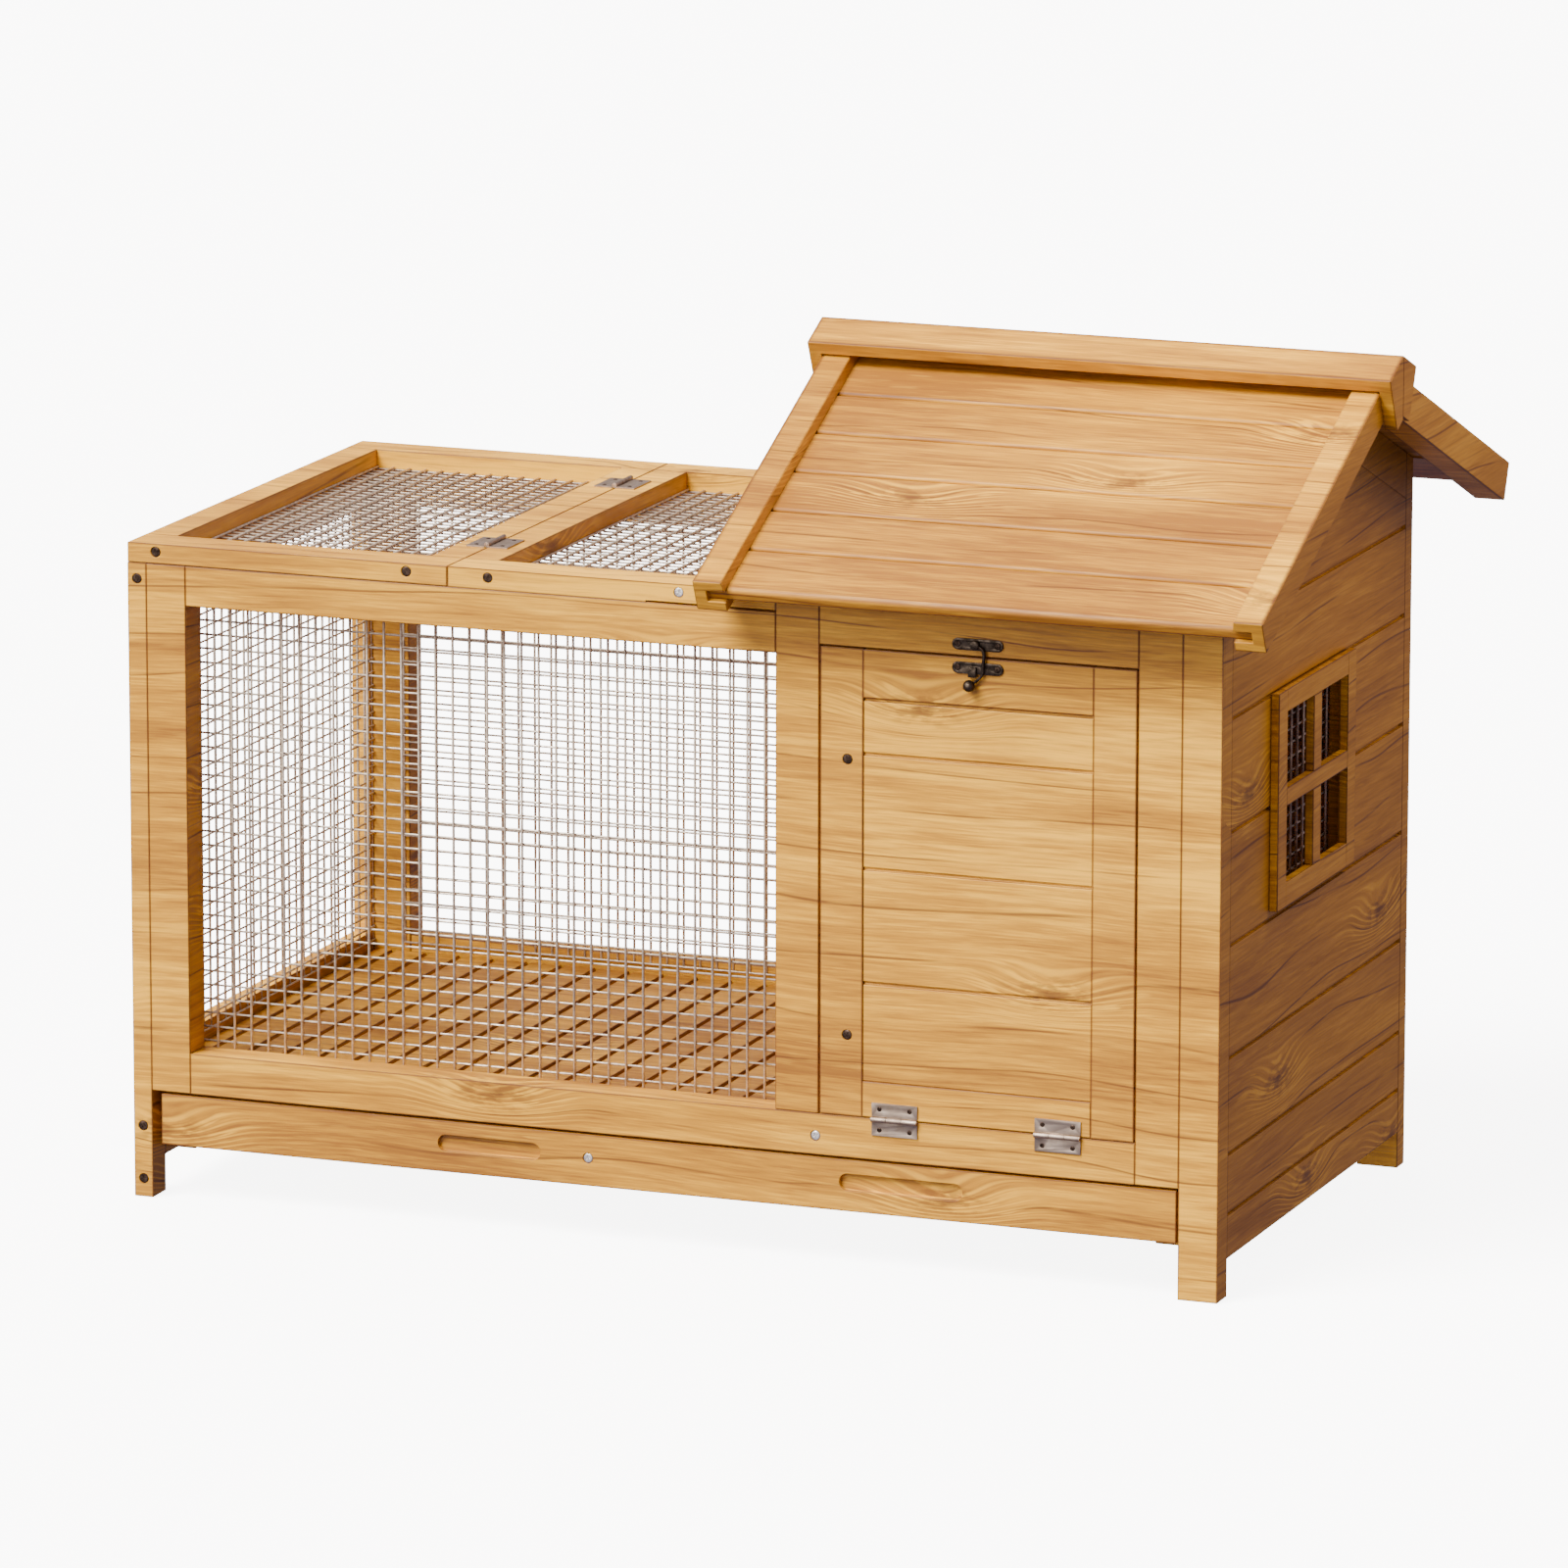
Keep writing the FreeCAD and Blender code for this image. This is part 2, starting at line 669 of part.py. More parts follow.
# ==== lid ===========================================================================
lid_right = seam_x - seam_gap / 2.0
lid_low = rail_top_z + lid_rest_gap
lid_screws = [lid_screw_left, lid_right - lid_screw_right]
lid_front = block(0, lid_right, 0, inner_front, lid_low, frame_top)
for x in lid_screws:
    lid_front = screw_hole(lid_front, x, 0, screw_row_z, front)
save("lid_rails", [lid_front, block(0, lid_right, inner_back, body_depth, lid_low, frame_top)])
lid_inner_right = lid_right - top_middle_stile
save("lid_stiles", [
    block(0, top_left_stile, inner_front, inner_back, lid_low, frame_top),
    block(lid_inner_right, lid_right, inner_front, inner_back, lid_low, frame_top),
])
sheet = mesh_sheet(place(top_left_stile, inner_front, lid_low), x_dir, y_dir,
                   lid_inner_right - top_left_stile, inner_back - inner_front,
                   mesh_pitch_across, mesh_pitch_up)
save("lid_mesh", [sheet])

# ==== butt hinges ===================================================================
def leaf(axis_start, along, side, away, length, reach, own_knuckles):
    # one hinge leaf: plate lying against the wood, its knuckles, two screw holes;
    # `side` points from the pin over the wood, `away` points out of the wood
    third = length / 3.0
    plate_corner = axis_start - away * knuckle_lift
    spots = [plate_corner, plate_corner + along * length, plate_corner + along * length + side * reach,
             plate_corner + side * reach, plate_corner]
    plate = Part.Face(Part.makePolygon(spots)).extrude(away * leaf_thickness)
    result = plate
    for index in range(3):
        begin = index * third
        end = begin + third
        if index in own_knuckles:
            low = begin + (knuckle_gap / 2.0 if index > 0 else 0.0)
            high = end - (knuckle_gap / 2.0 if index < 2 else 0.0)
            result = result.fuse(rod(axis_start + along * low, axis_start + along * high, knuckle_radius))
        else:
            low = begin - (knuckle_gap / 2.0 if index > 0 else 1.0)
            high = end + (knuckle_gap / 2.0 if index < 2 else 1.0)
            notch = rod(axis_start + along * low, axis_start + along * high,
                        knuckle_radius + knuckle_gap)
            result = result.cut(notch)
            corner = axis_start + along * low - away * knuckle_lift - side * 1.0
            spots = [corner, corner + along * (high - low),
                     corner + along * (high - low) + side * (knuckle_radius + 1.0),
                     corner + side * (knuckle_radius + 1.0), corner]
            gap = Part.Face(Part.makePolygon(spots)).extrude(away * knuckle_lift)
            result = result.cut(gap)
    bore = rod(axis_start - along * 1.0, axis_start + along * (length + 1.0), pin_radius + pin_fit)
    result = result.cut(bore)
    for fraction in leaf_hole_fractions:
        spot = plate_corner + along * (length * fraction)
        spot = spot + side * (knuckle_radius + (reach - knuckle_radius) * leaf_hole_reach)
        result = result.cut(rod(spot - away, spot + away * 4.0, leaf_hole_radius))
    return max(result.removeSplitter().Solids, key=lambda piece: piece.Volume)


lid_axis_z = frame_top + knuckle_lift
lid_hinge_starts = [inner_front + lid_hinge_inset, inner_back - lid_hinge_back_inset - lid_hinge_length]
fixed_leaves = []
lid_leaves = []
lid_pins = []
for y in lid_hinge_starts:
    start = place(seam_x, y, lid_axis_z)
    lid_leaves.append(leaf(start, y_dir, x_dir * -1, top, lid_hinge_length, lid_hinge_leaf, (1,)))
    fixed_leaves.append(leaf(start, y_dir, x_dir, top, lid_hinge_length, lid_hinge_leaf, (0, 2)))
    lid_pins.append(rod(start, start + y_dir * lid_hinge_length, pin_radius))
save("lid_hinge_leaves", lid_leaves)
save("lid_hinge_fixed_leaves", fixed_leaves)
save("lid_hinge_pins", lid_pins)

door_axis_z = door_bottom
door_hinge_starts = [door_left + door_hinge_inset, door_right - door_hinge_right_inset - door_hinge_length]
frame_leaves = []
door_leaves = []
door_pins = []
for x in door_hinge_starts:
    start = place(x, -knuckle_lift, door_axis_z)
    door_leaves.append(leaf(start, x_dir, z_dir, front, door_hinge_length, door_hinge_leaf, (1,)))
    frame_leaves.append(leaf(start, x_dir, z_dir * -1, front, door_hinge_length, door_hinge_leaf, (0, 2)))
    door_pins.append(rod(start, start + x_dir * door_hinge_length, pin_radius))
save("door_hinge_leaves", door_leaves)
save("door_hinge_frame_leaves", frame_leaves)
save("door_hinge_pins", door_pins)

# ==== door ==========================================================================
leaf_left = door_left + door_gap
leaf_right = door_right - door_gap
leaf_low = door_bottom + door_gap * 0.5
leaf_high = door_top - door_gap
door_screws = [(leaf_left + door_screw_inset, door_top - door_screw_drop),
               (leaf_left + door_screw_inset, door_bottom + door_screw_rise)]
left_stile = block(leaf_left, leaf_left + door_stile_width - door_gap, 0, door_thickness, leaf_low, leaf_high)
for x, z in door_screws:
    left_stile = screw_hole(left_stile, x, 0, z, front)
panel_left = leaf_left + door_stile_width - door_gap
panel_right = leaf_right - door_stile_width + door_gap
right_stile = block(panel_right, leaf_right, 0, door_thickness, leaf_low, leaf_high)
save("door_stiles", [left_stile, right_stile])
door_rail_low = leaf_high - door_top_rail + door_gap
door_rail_high = door_bottom + door_bottom_rail
save("door_rails", [
    block(panel_left, panel_right, 0, door_thickness, door_rail_low, leaf_high),
    block(panel_left, panel_right, 0, door_thickness, leaf_low, door_rail_high),
])
door_seams = [door_rail_high]
seam = door_rail_high + first_door_board
while seam < door_rail_low - door_board_pitch / 4.0:
    door_seams.append(seam)
    seam += door_board_pitch
door_seams.append(door_rail_low)
door_boards = []
for low, high in zip(door_seams[:-1], door_seams[1:]):
    board = block(panel_left, panel_right, door_board_recess, door_board_recess + door_board_thickness,
                  low, high)
    groove = block(panel_left - 1, panel_right + 1, -1, door_board_recess + 2.0, high - 2.4, high)
    door_boards.append(board.cut(groove))
save("door_boards", door_boards)

# ==== swing hook latch ==============================================================
def round_plate(x, z, length, width, y0, y1):
    reach = (length - width) / 2.0
    middle = block(x - reach, x + reach, y0, y1, z - width / 2.0, z + width / 2.0)
    result = middle
    for side in (-1, 1):
        result = result.fuse(rod(place(x + side * reach, y0, z), place(x + side * reach, y1, z), width / 2.0))
    return result.removeSplitter()


latch_reach = (latch_plate_length - latch_plate_width) / 2.0
latch_screws = {}
for name, z in (("latch_plate", latch_upper_z), ("catch_plate", latch_lower_z)):
    plate = round_plate(latch_x, z, latch_plate_length, latch_plate_width, -latch_plate_thickness, 0)
    heads = []
    for side in (-1, 1):
        spot = place(latch_x + side * latch_reach, 0, z)
        plate = plate.cut(rod(spot + y_dir, spot + front * 4, latch_screw_radius + 0.1))
        heads.append(rod(spot, spot + front * (latch_plate_thickness + latch_screw_rise), latch_screw_radius))
    latch_screws[name] = heads
    if name == "latch_plate":
        pivot_x = latch_x - 1.5
        pivot = place(pivot_x, -latch_plate_thickness, z)
        arm_low = latch_plate_thickness + latch_arm_gap
        arm_high = arm_low + latch_arm_thickness
        stud = rod(pivot, place(pivot_x, -arm_high - 0.3, z), latch_stud_radius)
        cap = rod(place(pivot_x, -arm_high - 0.3, z), place(pivot_x, -arm_high - 1.5, z),
                  latch_stud_head_radius)
        plate = plate.fuse(stud).fuse(cap).removeSplitter()
    else:
        strap = block(latch_x - 6.8, latch_x - 0.4, -strap_height, -latch_plate_thickness / 2.0,
                      z - 6.6, z + 1.2)
        plate = plate.fuse(strap).removeSplitter()
    save(name, [plate])

arm_path = [(pivot_x, latch_upper_z), (latch_x + 5.2, latch_upper_z - 4.0),
            (latch_x + 6.2, latch_upper_z - 10.0), (latch_x + 5.0, latch_upper_z - 16.0),
            (latch_x + 5.6, latch_upper_z - 21.0), (latch_x + 1.0, latch_upper_z - 27.0),
            (latch_x - 5.0, latch_upper_z - 31.0)]


def arm_rib(x0, z0, x1, z1):
    length = math.hypot(x1 - x0, z1 - z0)
    sx = -(z1 - z0) / length * latch_arm_width / 2.0
    sz = (x1 - x0) / length * latch_arm_width / 2.0
    corners = [place(x, -arm_low, z) for x, z in
               ((x0 + sx, z0 + sz), (x1 + sx, z1 + sz), (x1 - sx, z1 - sz), (x0 - sx, z0 - sz))]
    face = Part.Face(Part.makePolygon(corners + [corners[0]]))
    rib = face.extrude(front * latch_arm_thickness)
    knee = rod(place(x1, -arm_low, z1), place(x1, -arm_high, z1), latch_arm_width / 2.0)
    return rib.fuse(knee)


arm = rod(place(pivot_x, -arm_low, latch_upper_z), place(pivot_x, -arm_high, latch_upper_z), 3.6)
for start, end in zip(arm_path[:-1], arm_path[1:]):
    arm = arm.fuse(arm_rib(start[0], start[1], end[0], end[1]))
ball_at = arm_path[-1]
ball = Part.makeSphere(latch_ball_radius, place(ball_at[0], -arm_low - latch_ball_radius, ball_at[1]))
arm = arm.fuse(ball)
arm = arm.cut(rod(place(pivot_x, 1, latch_upper_z), place(pivot_x, -12, latch_upper_z),
                  latch_stud_radius + pin_fit))
save("latch_arm", [arm.removeSplitter()])

# ==== screws ========================================================================
dark = [screw_head(x, 0, z, front) for x, z in left_leg_screws]
bright = [screw_head(bright_rail_screw[0], 0, bright_rail_screw[1], front)]
for x, tone in fixed_screws:
    head = screw_head(x, 0, screw_row_z, front)
    if tone == "dark":
        dark.append(head)
    else:
        bright.append(head)
save("frame_screws_dark", dark + latch_screws["latch_plate"])
save("frame_screws_bright", bright)
save("lid_screws", [screw_head(x, 0, screw_row_z, front) for x in lid_screws])
save("door_screws", [screw_head(x, 0, z, front) for x, z in door_screws] + latch_screws["catch_plate"])


def leaf_screws(axis_start, along, side, away, length, reach):
    heads = []
    for fraction in leaf_hole_fractions:
        spot = axis_start - away * knuckle_lift + along * (length * fraction)
        spot = spot + side * (knuckle_radius + (reach - knuckle_radius) * leaf_hole_reach)
        heads.append(rod(spot, spot + away * (leaf_thickness + 0.3), leaf_screw_radius))
    return heads


hinge_screws = {"lid": [], "door": [], "frame": []}
for y in lid_hinge_starts:
    start = place(seam_x, y, lid_axis_z)
    hinge_screws["lid"] += leaf_screws(start, y_dir, x_dir * -1, top, lid_hinge_length, lid_hinge_leaf)
    hinge_screws["frame"] += leaf_screws(start, y_dir, x_dir, top, lid_hinge_length, lid_hinge_leaf)
for x in door_hinge_starts:
    start = place(x, -knuckle_lift, door_axis_z)
    hinge_screws["door"] += leaf_screws(start, x_dir, z_dir, front, door_hinge_length, door_hinge_leaf)
    hinge_screws["frame"] += leaf_screws(start, x_dir, z_dir * -1, front, door_hinge_length, door_hinge_leaf)
save("lid_hinge_screws", hinge_screws["lid"])
save("door_hinge_screws", hinge_screws["door"])
save("frame_hinge_screws", hinge_screws["frame"])

# ==== drawer ========================================================================
drawer_front_top = frame_bottom - drawer_top_gap
board = block(drawer_left, drawer_right, 0, drawer_front_thickness, drawer_front_bottom, drawer_front_top)
grip_z = drawer_front_top - grip_drop
for grip_x, grip_length in ((drawer_left + left_grip_inset + left_grip_length / 2.0, left_grip_length),
                            (drawer_right - right_grip_inset - right_grip_length / 2.0, right_grip_length)):
    board = board.cut(round_plate(grip_x, grip_z, grip_length, grip_height, -1, grip_depth))
drawer_screw = (drawer_left + drawer_screw_inset, drawer_front_top - drawer_screw_drop)
board = screw_hole(board, drawer_screw[0], 0, drawer_screw[1], front)
save("drawer_front", [board])
save("drawer_screw", [screw_head(drawer_screw[0], 0, drawer_screw[1], front)])
box_back = back_leg_front - 6.0
box_top = drawer_box_bottom + drawer_box_height
inner_left = box_left + drawer_box_thickness
inner_right = box_right - drawer_box_thickness
save("drawer_box", [
    block(box_left, box_left + drawer_box_thickness, drawer_front_thickness, box_back,
          drawer_box_bottom, box_top),
    block(box_right - drawer_box_thickness, box_right, drawer_front_thickness, box_back,
          drawer_box_bottom, box_top),
    block(inner_left, inner_right, box_back - drawer_box_thickness, box_back,
          drawer_box_bottom, box_top),
])
save("drawer_floor", [block(inner_left, inner_right, drawer_front_thickness,
                            box_back - drawer_box_thickness, drawer_box_bottom + 3.0,
                            drawer_box_bottom + 3.0 + drawer_floor_thickness)])
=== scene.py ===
import json
import math

import bpy
from mathutils import Matrix, Vector


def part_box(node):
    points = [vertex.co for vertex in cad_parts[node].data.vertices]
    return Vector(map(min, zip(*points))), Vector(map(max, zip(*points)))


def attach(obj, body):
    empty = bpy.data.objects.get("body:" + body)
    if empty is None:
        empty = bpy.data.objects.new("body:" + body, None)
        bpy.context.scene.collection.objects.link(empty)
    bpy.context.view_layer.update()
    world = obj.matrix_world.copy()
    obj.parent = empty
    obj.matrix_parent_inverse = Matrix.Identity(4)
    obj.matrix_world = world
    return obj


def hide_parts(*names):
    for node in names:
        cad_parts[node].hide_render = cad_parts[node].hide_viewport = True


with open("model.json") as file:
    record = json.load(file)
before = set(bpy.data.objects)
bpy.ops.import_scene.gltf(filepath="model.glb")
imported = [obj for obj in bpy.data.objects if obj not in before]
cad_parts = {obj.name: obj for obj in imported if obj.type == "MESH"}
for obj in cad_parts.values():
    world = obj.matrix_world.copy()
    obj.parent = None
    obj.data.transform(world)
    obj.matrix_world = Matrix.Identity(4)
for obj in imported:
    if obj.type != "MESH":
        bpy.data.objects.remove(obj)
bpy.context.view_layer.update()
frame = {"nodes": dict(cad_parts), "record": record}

MM = 0.001
NODES = frame["nodes"]
BODY_OF = {
    node: body
    for body, group in frame["record"]["behaviour"]["bodies"].items()
    for node in group
}
SLOT_OF = {row["node"]: row["material_slot"] for row in frame["record"]["subparts"]}

# camera, in metres, degrees and millimetres of lens
CAMERA_PLACE = (2.9561, -7.7459, 2.1371)
CAMERA_TURN = -21.058
CAMERA_DIP = 12.362
CAMERA_ROLL = 0.070
CAMERA_LENS = 247.65
CAMERA_SENSOR = 36.0

# light: each sun has the direction it comes from, strength, spread in degrees, gloss or none
SKY_LOW = (0.21, 0.185, 0.30, 1)
SKY_HIGH = (0.50, 0.425, 0.45, 1)
SKY_FADE = 0.35
SUN_COLOUR = (1.0, 0.985, 0.96)
SUNS = {
    "overhead": ((-0.34, -0.54, 0.78), 9.2, 34.0, True),
    "behind": ((-0.40, 0.80, 0.60), 1.5, 30.0, False),
    "front": ((-0.30, -0.92, 0.26), 1.7, 46.0, True),
}
GLOW_PLACE = (1.0, 0.15, 1.25)
GLOW_TARGET = (0.45, 0.0, 0.5)
GLOW_COLOUR = (1.0, 0.80, 0.84)
GLOW_POWER = 4.8
GLOW_WIDTH = 0.6
FLOOR_SIZE = 60
FLOOR_DROP = 0.5 * MM
FLOOR_COLOUR = (0.95, 0.945, 0.935, 1)
FLOOR_LIGHT = (1.0, 0.995, 0.985, 1)
FLOOR_GLOW = 7.0

# timber
TIMBER_EASE = 0.7 * MM
# roof boards whose end faces under each lap get painted shade, all but the lowest board
LAPPED = ("roof_front_boards", "roof_back_boards")
LAP_RISE = 5.0 * MM
# painted light and shade: each listed piece is drawn deeper (plus) or paler (minus) than the rest of
# the pine, standing in for how much light falls on it
PAINTED_LIGHT_TINT = {
    "roof_front_boards": 2.2, "roof_back_boards": 2.2, "ridge_cap": 0.7,
    "bargeboards_front": 0.7, "drawer_front": 1.2, "floor_slats": 1.6,
    "floor_bearers": 2.0, "front_bottom_rail": 0.6, "lid_rails": -0.9,
    "lid_stiles": -0.9, "fixed_top_rails": -0.7, "fixed_top_stiles": -0.7,
}
WALL_FACING = 0.62
LOG_SLANT = 0.62
KNOT_PITCH = (3.0, 8.0)
KNOTLESS_SHARE = 0.35

# metal
HINGE_EASE = 0.2 * MM
LATCH_EASE = 0.3 * MM
WIRE_GAUGE = 2.15 * MM
WIRE_PITCH_ACROSS = 14.3 * MM
WIRE_PITCH_UP = 11.3 * MM
CROSS_WIRE_RADIUS = 0.40 * WIRE_GAUGE
WIRE_LIFT = 0.40 * WIRE_GAUGE
# which way the wires run, and the side on which the up-wires lie
WIRE_MESHES = {
    "run_front_mesh": ("x", "z", -1),
    "run_back_mesh": ("x", "z", 1),
    "run_left_mesh": ("y", "z", -1),
    "window_mesh": ("y", "z", 1),
    "lid_mesh": ("x", "y", 1),
    "fixed_top_mesh": ("x", "y", 1),
}
FIRST_SCREW_TURN = 0.3
NEXT_SCREW_TURN = 0.85


# ---- writing materials ----------------------------------------------------------------
class Measure:
    """A number travelling through a material's nodes."""

    def __init__(self, nodes, socket):
        self.nodes = nodes
        self.socket = socket

    def with_math(self, operation, first, second=None):
        inputs = {0: first}
        if second is not None:
            inputs[1] = second
        node = self.nodes.add("ShaderNodeMath", {"operation": operation}, inputs)
        return Measure(self.nodes, node.outputs[0])

    def __add__(self, other):
        return self.with_math("ADD", self, other)

    __radd__ = __add__

    def __sub__(self, other):
        return self.with_math("SUBTRACT", self, other)

    def __rsub__(self, other):
        return self.with_math("SUBTRACT", other, self)

    def __mul__(self, other):
        return self.with_math("MULTIPLY", self, other)

    __rmul__ = __mul__

    def __gt__(self, other):
        return self.with_math("GREATER_THAN", self, other)

    def __abs__(self):
        return self.with_math("ABSOLUTE", self)

    def least(self, other):
        return self.with_math("MINIMUM", self, other)

    def from_line(self):
        """Distance from the nearest of the lines that lie halfway between whole numbers."""
        return abs(self.with_math("FRACT", self) - 0.5)

    def between(self, low, high):
        node = self.nodes.add(
            "ShaderNodeMapRange",
            {"interpolation_type": "SMOOTHSTEP"},
            {"Value": self, "From Min": low, "From Max": high, "To Min": 0.0, "To Max": 1.0},
        )
        return Measure(self.nodes, node.outputs["Result"])


class Nodes:
    """A node tree, put together node by node."""

    def __init__(self, tree):
        self.tree = tree

    def add(self, kind, settings=None, inputs=None):
        node = self.tree.nodes.new(kind)
        for name, value in (settings or {}).items():
            if name == "stops":
                ramp = node.color_ramp
                while len(ramp.elements) < len(value):
                    ramp.elements.new(0.5)
                for element, (position, colour) in zip(ramp.elements, value):
                    element.position = position
                    element.color = colour
            else:
                setattr(node, name, value)
        for name, value in (inputs or {}).items():
            self.feed(node.inputs[name], value)
        return node

    def feed(self, socket, value):
        if isinstance(value, Measure):
            value = value.socket
        if isinstance(value, bpy.types.NodeSocket):
            self.tree.links.new(value, socket)
        else:
            socket.default_value = value

    def number(self, socket):
        return Measure(self, socket)

    def split(self, vector):
        node = self.add("ShaderNodeSeparateXYZ", None, {0: vector})
        return [self.number(output) for output in node.outputs]

    def join(self, x, y, z):
        return self.add("ShaderNodeCombineXYZ", None, {0: x, 1: y, 2: z}).outputs[0]

    def mark(self, name, output):
        """What mark_boards wrote on each board."""
        return self.add("ShaderNodeAttribute", {"attribute_name": name}).outputs[output]

    def cloud(self, place, stretch, detail=2.0, rough=0.5, scale=1.0):
        vector = self.join(*[part * times for part, times in zip(place, stretch)])
        node = self.add(
            "ShaderNodeTexNoise",
            None,
            {"Vector": vector, "Scale": scale, "Detail": detail, "Roughness": rough},
        )
        return self.number(node.outputs["Fac"])

    def blend(self, amount, first, second):
        node = self.add("ShaderNodeMix", {"data_type": "RGBA"}, {0: amount, 6: first, 7: second})
        return node.outputs[2]


class Finish(Nodes):
    """One material."""

    def __init__(self, name, roughness, specular=0.5, metallic=0.0):
        self.material = bpy.data.materials.new(name)
        self.material.use_nodes = True
        super().__init__(self.material.node_tree)
        self.shader = self.tree.nodes["Principled BSDF"]
        self.shader.inputs["Roughness"].default_value = roughness
        self.shader.inputs["Specular IOR Level"].default_value = specular
        self.shader.inputs["Metallic"].default_value = metallic

    def lay_on(self, colour, roughness, height, depth, strength):
        self.feed(self.shader.inputs["Base Color"], colour)
        self.feed(self.shader.inputs["Roughness"], roughness)
        bump = self.add(
            "ShaderNodeBump", None, {"Height": height, "Distance": depth, "Strength": strength}
        )
        self.feed(self.shader.inputs["Normal"], bump.outputs[0])
        return self.material


def tone(red, green, blue):
    """A colour given as it looks on a screen, 0 to 255, made linear."""
    def linear(value):
        share = value / 255.0
        return share / 12.92 if share <= 0.04045 else ((share + 0.055) / 1.055) ** 2.4
    return (linear(red), linear(green), linear(blue), 1.0)


# ---- studio ---------------------------------------------------------------------------
def aim(position, look, up):
    back = -Vector(look).normalized()
    side = Vector(up).cross(back).normalized()
    rise = back.cross(side)
    turn = Matrix((side, rise, back)).transposed().to_4x4()
    return Matrix.Translation(position) @ turn


def set_camera():
    data = bpy.data.cameras.new("camera")
    data.lens = CAMERA_LENS
    data.sensor_width = CAMERA_SENSOR
    data.clip_start = 0.1
    data.clip_end = 100.0
    camera = bpy.data.objects.new("camera", data)
    bpy.context.scene.collection.objects.link(camera)
    turn, dip, roll = [math.radians(angle) for angle in (CAMERA_TURN, CAMERA_DIP, CAMERA_ROLL)]
    look = Vector((math.sin(turn) * math.cos(dip), math.cos(turn) * math.cos(dip), -math.sin(dip)))
    level = Vector((math.cos(turn), -math.sin(turn), 0.0))
    upright = level.cross(look)
    up = upright * math.cos(roll) - level * math.sin(roll)
    camera.matrix_world = aim(Vector(CAMERA_PLACE), look, up)
    bpy.context.scene.camera = camera


def hang_lamp(data, name, position, look):
    lamp = bpy.data.objects.new(name, data)
    bpy.context.scene.collection.objects.link(lamp)
    lamp.matrix_world = aim(position, look, (0, 0, 1))
    return lamp


def soft_sun(name, direction, strength, spread, gloss):
    data = bpy.data.lights.new(name, "SUN")
    data.energy = strength
    data.angle = math.radians(spread)
    data.color = SUN_COLOUR
    lamp = hang_lamp(data, name, Vector(direction) * 4.0, -Vector(direction))
    lamp.visible_glossy = gloss


def wall_glow():
    """A small warm panel beside the end wall, which the suns miss."""
    data = bpy.data.lights.new("wall_glow", "AREA")
    data.shape = "SQUARE"
    data.size = GLOW_WIDTH
    data.energy = GLOW_POWER
    data.color = GLOW_COLOUR
    hang_lamp(data, "wall_glow", Vector(GLOW_PLACE), Vector(GLOW_TARGET) - Vector(GLOW_PLACE))


def set_sky():
    world = bpy.data.worlds.new("studio")
    world.use_nodes = True
    sky = Nodes(world.node_tree)
    where = sky.add("ShaderNodeTexCoord")
    height = sky.split(where.outputs["Generated"])[2]
    rise = sky.add(
        "ShaderNodeMapRange", None, {"Value": height, "From Min": -SKY_FADE, "From Max": SKY_FADE}
    )
    background = sky.tree.nodes["Background"]
    sky.feed(background.inputs["Color"], sky.blend(rise.outputs["Result"], SKY_LOW, SKY_HIGH))
    sky.feed(background.inputs["Strength"], 1.0)
    bpy.context.scene.world = world


def lay_floor():
    """A pale floor with a light of its own, which doesn't fill the hutch from below."""
    bpy.ops.mesh.primitive_plane_add(size=FLOOR_SIZE, location=(0, 0, -FLOOR_DROP))
    floor = bpy.context.object
    floor.name = "floor"
    pale = Finish("pale_floor", roughness=0.95, specular=0.0)
    pale.feed(pale.shader.inputs["Emission Color"], FLOOR_LIGHT)
    pale.feed(pale.shader.inputs["Emission Strength"], FLOOR_GLOW)
    pale.feed(pale.shader.inputs["Base Color"], FLOOR_COLOUR)
    floor.data.materials.append(pale.material)
    floor.visible_diffuse = False
    floor.visible_glossy = False


# ---- finishes -------------------------------------------------------------------------
def grain_level(pine, along, depth, z):
    """Height in the log, which wanders slowly and swells round each knot."""
    drift = pine.cloud((along, depth, z), (1.3, 3.0, 4.0)) - 0.5
    sway = pine.cloud((along, depth, z), (5.0, 12.0, 12.0), 1.0) - 0.5
    slant = depth * LOG_SLANT
    knot_along, knot_up = KNOT_PITCH
    knots = pine.add(
        "ShaderNodeTexVoronoi",
        {"feature": "F1", "voronoi_dimensions": "2D"},
        {
            "Vector": pine.join(along * knot_along, (slant + z) * knot_up, 0.0),
            "Scale": 1.0,
            "Randomness": 1.0,
        },
    )
    reach = pine.number(knots.outputs["Distance"])
    knotty = pine.split(knots.outputs["Color"])[0] > KNOTLESS_SHARE
    swell = (1.0 - reach.between(0.0, 0.26)) * knotty
    level = z + slant + drift * 0.034 + sway * 0.008 + swell * 0.017
    return level, reach, knotty


def growth_lines(pine, colour, along, depth, level, line):
    """Broad and fine dark lines along the grain, broken here and there."""
    grain = (along, depth, level)
    wander = (pine.cloud(grain, (3.0, 3.0, 9.0), 1.0) - 0.5) * 1.6
    broken = pine.cloud(grain, (7.0, 5.0, 40.0))
    broad = 1.0 - (level * 27.0 + wander).from_line().between(0.008, 0.034)
    colour = pine.blend(broad * broken.between(0.38, 0.58) * 0.70, colour, line)
    fine = 1.0 - (level * 118.0 + wander * 2.0).from_line().between(0.03, 0.16)
    return pine.blend(fine * broken.between(0.44, 0.62) * 0.20, colour, line)


